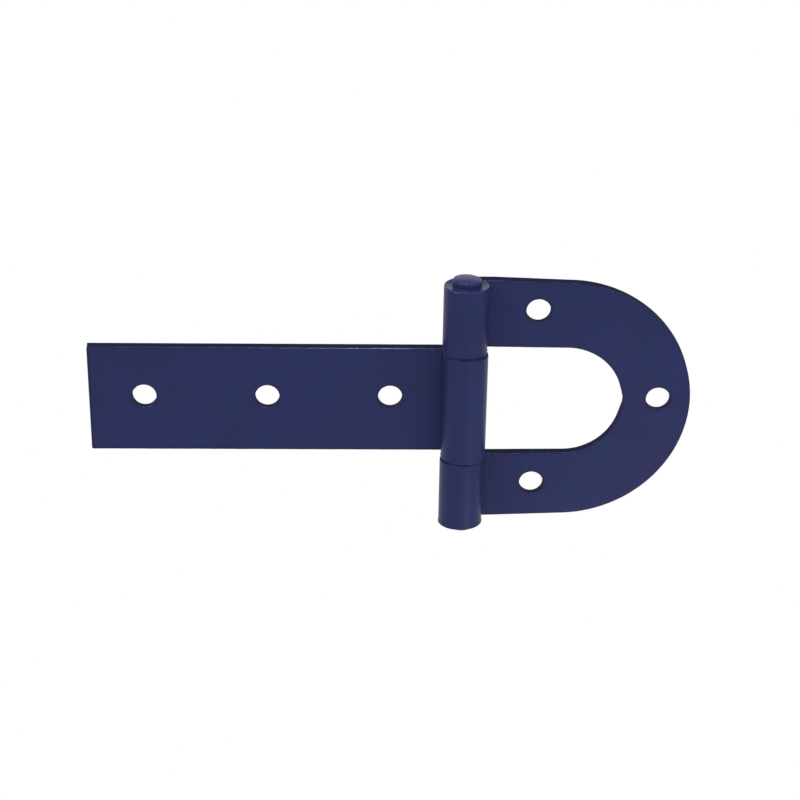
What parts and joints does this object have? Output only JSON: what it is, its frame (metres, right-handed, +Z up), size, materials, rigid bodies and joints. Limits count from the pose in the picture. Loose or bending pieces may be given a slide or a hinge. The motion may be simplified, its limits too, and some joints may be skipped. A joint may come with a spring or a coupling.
{
  "type": "horseshoe gate hinge",
  "caption": "Surface-fixed gate hinge: a long flat strap leaf and a horseshoe leaf with curled knuckles turn on a through pin, with round bolt holes in both leaves.",
  "frame": {"origin": "on the strap leaf's flat back face, straight behind the middle of the pin, at the height of the horseshoe leaf's middle", "axes": "+X along the hinge from the strap leaf towards the bow of the horseshoe, +Y out of the back faces into the gate and the post, +Z up along the pin"},
  "size_m": [0.2036, 0.0152, 0.0921],
  "materials": {
    "leaf_paint": "dark navy blue gloss paint over sheet steel",
    "pin_paint": "dark navy blue gloss paint over a steel bar"
  },
  "bodies": {
    "post_side": {"horseshoe_leaf": "leaf_paint", "hinge_pin": "pin_paint"},
    "gate_side": {"strap_leaf": "leaf_paint"}
  },
  "joints": [
    {"name": "hinge_swing", "type": "hinge", "parent": "post_side", "child": "gate_side", "pos_m": [0, -0.00761, 0], "axis": [0, 0, 1], "range_deg": [-155, 185]}
  ]
}
